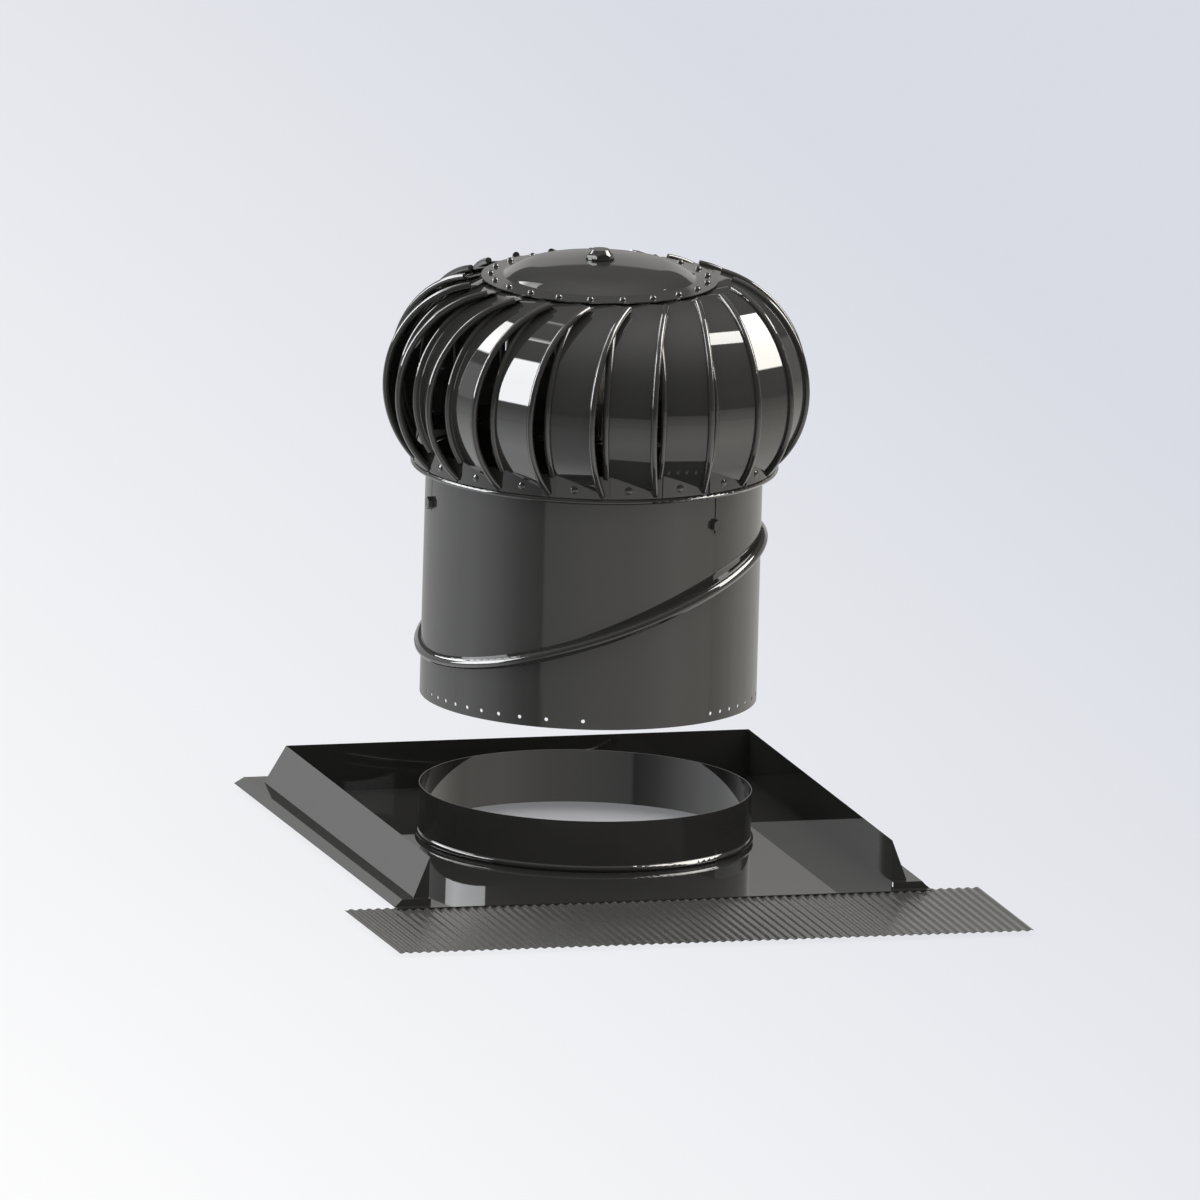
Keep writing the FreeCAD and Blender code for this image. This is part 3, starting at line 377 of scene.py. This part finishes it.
# %% Set the rivets on the brim
VANES = 21
VANE_STEP = math.tau / VANES
BRIM_RIVET_BEARING = math.radians(-110.95)
BRIM_RIVET_RING = 0.098
BRIM_HEAD_RADIUS = 0.0034
BRIM_HEAD_HEIGHT = 0.003
brim_slope = math.atan2(FOLD_TOP - BRIM_EDGE_TOP, BRIM_RADIUS - FOLD_RADIUS)
seat = BRIM_EDGE_TOP + (BRIM_RADIUS - BRIM_RIVET_RING) * math.tan(brim_slope)
on_brim = [
    Matrix.Rotation(BRIM_RIVET_BEARING + VANE_STEP * vane, 4, "Z")
    @ Matrix.Translation((BRIM_RIVET_RING, 0, seat))
    @ Matrix.Rotation(brim_slope, 4, "Y")
    for vane in range(VANES)
]
brim_rivets = rivet_heads("brim_rivets", BRIM_HEAD_RADIUS, BRIM_HEAD_HEIGHT, on_brim)
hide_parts("dome_rivets")

# %% Set the rivets on the band
BAND_RIVET_BEARING = math.radians(-112.53)
BAND_RIVET_RING = 0.16425
BAND_RIVET_LEVEL = 0.3546
BAND_HEAD_RADIUS = 0.0036
BAND_HEAD_HEIGHT = 0.0013
on_band = [
    Matrix.Rotation(BAND_RIVET_BEARING + VANE_STEP * vane, 4, "Z")
    @ Matrix.Translation((BAND_RIVET_RING, 0, BAND_RIVET_LEVEL))
    @ Matrix.Rotation(math.pi / 2, 4, "Y")
    for vane in range(VANES)
]
foot_rivets = rivet_heads("foot_rivets", BAND_HEAD_RADIUS, BAND_HEAD_HEIGHT, on_band)
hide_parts("band_rivets")

# %% [markdown]
# ## The floor
#
# A flat sheet of pale paper lies just under the flashing. Most of what the camera sees of it is
# an even glow, from white at the front left to a cool grey at the back right, and the rest is
# matt paper, which takes a little of the object's shadow. Round the collar's axis the glow is
# low, because the photograph shows the floor in the throat as a darker grey: a painted patch of
# shade, fixed under the throat, inside which the paper's real shade also shows more.

# %% Lay the floor
FLOOR_DROP = 0.004
FLOOR_REACH = 12.0
floor_height = cad_low.z - FLOOR_DROP
corners = [(-1, -1), (1, -1), (1, 1), (-1, 1)]
floor_data = bpy.data.meshes.new("studio_floor")
floor_data.from_pydata(
    [(x * FLOOR_REACH, y * FLOOR_REACH, floor_height) for x, y in corners], [], [(0, 1, 2, 3)]
)
floor = bpy.data.objects.new("studio_floor", floor_data)
bpy.context.scene.collection.objects.link(floor)
# reflections get their floor from the studio below, not from this sheet
floor.visible_glossy = False
print("floor height:", round(floor_height, 4))

# %% Tone the paper
TONE_TO_RIGHT = 0.42
TONE_TO_BACK = 0.115
TO_BACK = Vector((0.28, 0.96, 0))
TONE_END = 0.42
paper = bpy.data.materials.new("seamless_paper")
paper.use_nodes = True
tree = paper.node_tree
shader = tree.nodes["Principled BSDF"]
shader.inputs["Base Color"].default_value = to_linear("#b4b5b9")
shader.inputs["Roughness"].default_value = 0.9
place = add_node(tree, "ShaderNodeTexCoord")
across = add_node(
    tree,
    "ShaderNodeVectorMath",
    {
        0: place.outputs["Object"],
        1: tuple(level_right * TONE_TO_RIGHT + TO_BACK * TONE_TO_BACK),
    },
    operation="DOT_PRODUCT",
)
sweep = add_node(
    tree,
    "ShaderNodeMapRange",
    {"Value": across.outputs["Value"], "From Min": -TONE_END, "From Max": TONE_END},
)
ramp = add_node(tree, "ShaderNodeValToRGB", {"Fac": sweep.outputs["Result"]})
ramp.color_ramp.elements[0].color = to_linear("#ffffff")
ramp.color_ramp.elements[1].color = to_linear("#d7dae3")
ramp.color_ramp.elements.new(0.5).color = to_linear("#ecedf1")
lit = add_node(tree, "ShaderNodeEmission", {"Color": ramp.outputs["Color"], "Strength": 1.0})
print("paper tones:", len(ramp.color_ramp.elements))

# %% Dim the paper in the throat, a painted patch of shade
# painted shade: a disc under the throat where the glow is cut, so the paper's real shade shows
# through it
THROAT_SHADE_RADIUS = 0.2
PAPER_GLOW = 0.93
THROAT_SHADE_GLOW = 0.18
from_axis = add_node(
    tree, "ShaderNodeVectorMath", {0: place.outputs["Object"]}, operation="LENGTH"
)
painted_throat_shade = add_node(
    tree,
    "ShaderNodeMath",
    {0: from_axis.outputs["Value"], 1: THROAT_SHADE_RADIUS},
    operation="LESS_THAN",
)
even_glow = add_node(
    tree,
    "ShaderNodeMapRange",
    {"Value": painted_throat_shade.outputs["Value"], "To Min": PAPER_GLOW, "To Max": THROAT_SHADE_GLOW},
)
rays = add_node(tree, "ShaderNodeLightPath")
seen = add_node(
    tree,
    "ShaderNodeMath",
    {0: rays.outputs["Is Camera Ray"], 1: even_glow.outputs["Result"]},
    operation="MULTIPLY",
)
blend = add_node(
    tree,
    "ShaderNodeMixShader",
    {0: seen.outputs["Value"], 1: shader.outputs["BSDF"], 2: lit.outputs["Emission"]},
)
tree.links.new(blend.outputs["Shader"], tree.nodes["Material Output"].inputs["Surface"])
floor_data.materials.append(paper)
print("paper nodes:", len(tree.nodes))

# %% [markdown]
# ## The studio
#
# Gloss black shows its surroundings more than its own colour. The photograph's highlights say
# where the lights stood: a bright floor below the horizon, grey walls with a dim ceiling above
# them, a tall softbox to the left, a slanted one to the right and a weaker one behind the left.
# All of it is worked out from the direction in which a reflection looks. Its bearing is nought
# towards the camera and grows to the right, and its lift is nought at the horizon.

# %% Read the direction of a reflection
world = bpy.data.worlds.new("studio")
bpy.context.scene.world = world
world.use_nodes = True
tree = world.node_tree
tree.nodes.clear()
sight = add_node(tree, "ShaderNodeTexCoord").outputs["Generated"]
turned = add_node(
    tree,
    "ShaderNodeVectorRotate",
    {"Vector": sight, "Angle": -VIEW_AZIMUTH},
    rotation_type="Z_AXIS",
).outputs["Vector"]
parts = add_node(tree, "ShaderNodeSeparateXYZ", {"Vector": turned})
height = parts.outputs["Z"]


def maths(operation, first, second=0.0, third=0.0, clamp=False):
    """The result of one sum in the studio's node tree."""
    made = add_node(
        tree, "ShaderNodeMath", {0: first, 1: second, 2: third}, operation=operation, use_clamp=clamp
    )
    return made.outputs["Value"]


to_front = maths("MULTIPLY", parts.outputs["Y"], -1.0)
bearing = maths("ARCTAN2", parts.outputs["X"], to_front)
lift = maths("ARCSINE", height)
print("bearing nought is turned by", round(math.degrees(VIEW_AZIMUTH), 2), "degrees")


# %% Helpers for lights and walls
BOX_EDGE_DEGREES = 1.0
BRIGHTEST = 2.0


def above(value, low, soft):
    """One where the value passes low, nought short of it, with an edge as wide as soft degrees."""
    return maths("DIVIDE", maths("SUBTRACT", value, low), math.radians(soft), clamp=True)


def lit_window(left, right, bottom, top):
    """A lit rectangle as the object sees it; each side is an angle or a socket."""
    sides = maths(
        "MULTIPLY",
        above(bearing, left, BOX_EDGE_DEGREES),
        above(right, bearing, BOX_EDGE_DEGREES),
    )
    ends = maths(
        "MULTIPLY", above(lift, bottom, BOX_EDGE_DEGREES), above(top, lift, BOX_EDGE_DEGREES)
    )
    return maths("MULTIPLY", sides, ends)


def sloping(level, from_bearing, rate):
    """An angle that changes with the bearing past a given one."""
    past = maths("SUBTRACT", bearing, math.radians(from_bearing))
    return maths("MULTIPLY_ADD", maths("MAXIMUM", past, 0.0), rate, math.radians(level))


def around(stops, value, low, high):
    """Brightness along a run of angles in degrees, given as pairs of angle and brightness."""
    share = maths("DIVIDE", maths("SUBTRACT", value, math.radians(low)), math.radians(high - low))
    curve = add_node(tree, "ShaderNodeValToRGB", {"Fac": share})
    spare = curve.color_ramp.elements
    while len(spare) > 1:
        spare.remove(spare[0])
    for rank, (angle, level) in enumerate(stops):
        place = (angle - low) / (high - low)
        stop = spare[0] if rank == 0 else spare.new(place)
        stop.position = place
        stop.color = (level / BRIGHTEST, level / BRIGHTEST, level / BRIGHTEST, 1.0)
    return maths("MULTIPLY", curve.outputs["Color"], BRIGHTEST)


# %% Hang the softboxes
LEFT_BOX = [math.radians(side) for side in (-111, -71, 3, 38)]
LEFT_FADE_FROM = math.radians(99)
LEFT_FADE_DEGREES = 30.0
left_box = lit_window(*LEFT_BOX)
left_dim = above(maths("MULTIPLY", bearing, -1.0), LEFT_FADE_FROM, LEFT_FADE_DEGREES)
left_box = maths("MULTIPLY", left_box, maths("SUBTRACT", 1.0, left_dim))

RIGHT_SIDES = [math.radians(side) for side in (84, 139)]
right_box = lit_window(*RIGHT_SIDES, sloping(18, 91, 0.36), sloping(63, 104, -0.45))

FAR_BOX = [math.radians(side) for side in (-148, -112, 25, 50)]
FAR_DIM_FROM = math.radians(31)
FAR_DIM_UP_DEGREES = 10.0
FAR_DIM_BACK_DEGREES = 34.0
FAR_DIM_LEAST = 0.3
FAR_DIM_BEHIND = 0.5
far_up = above(lift, FAR_DIM_FROM, FAR_DIM_UP_DEGREES)
far_back = above(FAR_BOX[1], bearing, FAR_DIM_BACK_DEGREES)
far_share = maths("MULTIPLY_ADD", far_back, -FAR_DIM_BEHIND, -FAR_DIM_LEAST)
far_dim = maths("MULTIPLY_ADD", far_up, far_share, 1.0)
far_box = maths("MULTIPLY", lit_window(*FAR_BOX), far_dim)

BOX_STRENGTH = 19.0
FAR_STRENGTH = 13.0
boxes = maths("MULTIPLY", maths("ADD", left_box, right_box), BOX_STRENGTH)
boxes = maths("MULTIPLY_ADD", far_box, FAR_STRENGTH, boxes)
print("studio nodes with the softboxes:", len(tree.nodes))

# %% [markdown]
# ## Floor and walls in the gloss
#
# The neck and the collar are upright tubes, so each shows a narrow run of bearings, and their
# tones from edge to edge say how bright the room is all round. The brightness is given
# at a few bearings and runs evenly from one to the next.

# %% Shade the floor and the walls
FLOOR_AROUND = [
    (-180, 0.42), (-150, 0.7), (-120, 1.2), (-90, 1.56), (-70, 1.22), (-50, 0.55), (-34, 0.3),
    (-32, 0.8), (0, 0.98), (30, 1.1), (60, 1.42), (90, 1.18), (92, 1.04), (120, 1.12), (150, 0.8),
    (180, 0.42),
]
FLOOR_DOWN = [
    (-90, 1.25), (-55, 1.35), (-32, 1.6), (-20, 1.35), (-12, 1.0), (-5, 0.66), (-2, 0.5),
]
WALL_AROUND = [
    (-180, 0.44), (-165, 1.0), (-150, 0.84), (-112, 1.1), (-80, 0.62), (-46, 0.12), (-12, 0.03),
    (23, 0.04), (57, 0.22), (91, 0.42), (124, 0.62), (150, 0.66), (165, 1.0), (180, 0.44),
]
CEILING_AROUND = [
    (-180, 0.14), (-150, 0.16), (-112, 0.3), (-80, 0.4), (-46, 0.12), (-12, 0.03), (23, 0.04),
    (57, 0.2), (91, 0.3), (124, 0.2), (150, 0.16), (180, 0.14),
]
CEILING_FROM = math.radians(18.0)
CEILING_EDGE_DEGREES = 1.5
OVERHEAD_POWER = 4.5
FLOOR_FROM = math.radians(1.6)
FLOOR_EDGE_DEGREES = 0.6

floor_round = around(FLOOR_AROUND, bearing, -180, 180)
floor_down = around(FLOOR_DOWN, lift, -90, 0)
floor_glow = maths("MULTIPLY", floor_round, floor_down)
wall_low = around(WALL_AROUND, bearing, -180, 180)
wall_high = around(CEILING_AROUND, bearing, -180, 180)
upper = above(lift, CEILING_FROM, CEILING_EDGE_DEGREES)
wall_round = maths("MULTIPLY_ADD", maths("SUBTRACT", wall_high, wall_low), upper, wall_low)
overhead = maths("POWER", maths("MAXIMUM", height, 0.0), OVERHEAD_POWER)
wall_glow = maths("MULTIPLY_ADD", maths("SUBTRACT", 1.0, wall_round), overhead, wall_round)
below = above(maths("MULTIPLY", lift, -1.0), FLOOR_FROM, FLOOR_EDGE_DEGREES)
glow = maths(
    "ADD",
    maths("MULTIPLY", floor_glow, below),
    maths("MULTIPLY", wall_glow, maths("SUBTRACT", 1.0, below)),
)
gloss_view = maths("ADD", glow, boxes)
print("studio nodes with the room:", len(tree.nodes))

# %% [markdown]
# ## Three kinds of ray
#
# Reflections see that room. Matt surfaces get a soft light that grows towards the zenith, so
# that shaded folds keep their own dark grey. The camera itself sees an even pale backdrop.

# %% Light the room
SOFT_LIGHT_LEAST = 0.27
SOFT_LIGHT_RISE = 2.3
soft_light = maths(
    "MULTIPLY_ADD", maths("MAXIMUM", height, 0.0), SOFT_LIGHT_RISE, SOFT_LIGHT_LEAST
)
# light from the left is a little cooler than the light from the right
rightness = maths("MULTIPLY_ADD", parts.outputs["X"], 0.5, 0.5)
hue = add_node(
    tree,
    "ShaderNodeMix",
    {"Factor": rightness, 6: to_linear("#fbfcff"), 7: to_linear("#fffbf3")},
    data_type="RGBA",
)
rays = add_node(tree, "ShaderNodeLightPath")
seen_colour = add_node(
    tree,
    "ShaderNodeMix",
    {"Factor": rays.outputs["Is Camera Ray"], 6: hue.outputs[2], 7: to_linear("#dadde5")},
    data_type="RGBA",
)
strength = add_node(
    tree,
    "ShaderNodeMix",
    {"Factor": rays.outputs["Is Glossy Ray"], 2: soft_light, 3: gloss_view},
    data_type="FLOAT",
)
light_level = add_node(
    tree,
    "ShaderNodeMix",
    {"Factor": rays.outputs["Is Camera Ray"], 2: strength.outputs[0], 3: 1.0},
    data_type="FLOAT",
)
surround = add_node(
    tree,
    "ShaderNodeBackground",
    {"Color": seen_colour.outputs[2], "Strength": light_level.outputs[0]},
)
add_node(tree, "ShaderNodeOutputWorld", {"Surface": surround.outputs["Background"]})
print("studio nodes:", len(tree.nodes))

# %% Set the view transform
bpy.context.scene.view_settings.view_transform = "Standard"
